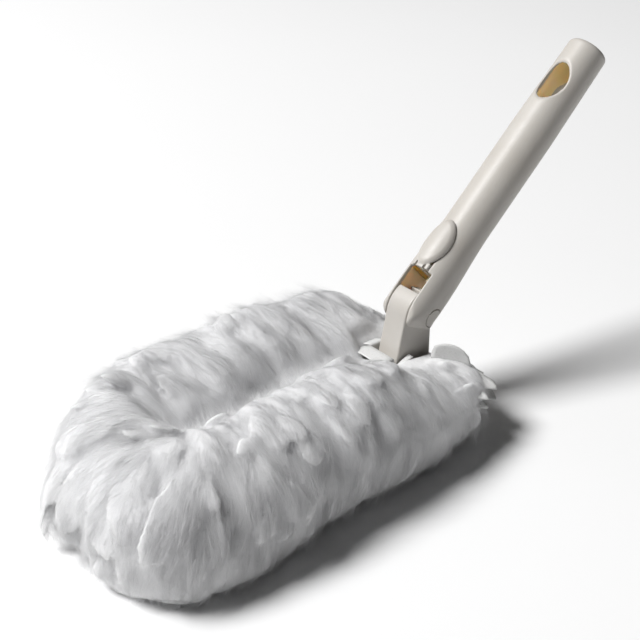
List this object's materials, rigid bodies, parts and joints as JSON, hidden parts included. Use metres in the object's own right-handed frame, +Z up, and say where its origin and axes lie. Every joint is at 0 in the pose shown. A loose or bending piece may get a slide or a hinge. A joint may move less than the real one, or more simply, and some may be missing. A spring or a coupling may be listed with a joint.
{
  "type": "disposable duster",
  "caption": "Disposable duster: a hollow plastic handle that tilts on a toothed neck with a thumb lock, and a fluffy lobed fibre refill that slides onto a pronged fork.",
  "frame": {"origin": "middle of the refill's flat underside, on the surface that the duster lies on", "axes": "+Z up, +X along the refill from its free end to the handle's end, +Y across the refill"},
  "size_m": [0.302, 0.1256, 0.1603],
  "materials": {
    "ivory_plastic": "warm white moulded plastic, satin",
    "inner_plastic": "cream moulded plastic, satin",
    "spring_steel": "drawn spring wire",
    "fibre_tow": "opened white polyester fibre, soft and matt",
    "nonwoven_sheet": "thin white bonded nonwoven"
  },
  "bodies": {
    "holder": {"swivel_neck": "ivory_plastic", "fork": "ivory_plastic"},
    "handle": {"handle_grip": "ivory_plastic", "pivot_pin": "ivory_plastic", "pin_ring": "ivory_plastic", "slider_spring": "spring_steel", "spring_seat": "inner_plastic"},
    "lock": {"lock_slider": "inner_plastic", "release_button": "ivory_plastic"},
    "refill": {"upper_tow_outer": "fibre_tow", "upper_tow_inner": "fibre_tow", "upper_strip_sheet": "nonwoven_sheet", "sleeve_top_sheet": "nonwoven_sheet", "sleeve_bottom_sheet": "nonwoven_sheet", "lower_strip_sheet": "nonwoven_sheet", "lower_tow_inner": "fibre_tow", "lower_tow_outer": "fibre_tow"}
  },
  "joints": [
    {"name": "handle_tilt", "type": "hinge", "parent": "holder", "child": "handle", "pos_m": [0.085, 0, 0.048], "axis": [0, 1, 0], "range_deg": [-45, 45]},
    {"name": "lock_slide", "type": "slide", "parent": "handle", "child": "lock", "axis": [0.7266, 0, 0.6871], "range_m": [-0.0025, 0], "stiffness_N_per_m": 300, "springref_m": -0.0025, "deforming": ["slider_spring"]},
    {"name": "refill_slide", "type": "slide", "parent": "holder", "child": "refill", "axis": [-1, 0, 0], "range_m": [0, 0.15]}
  ]
}
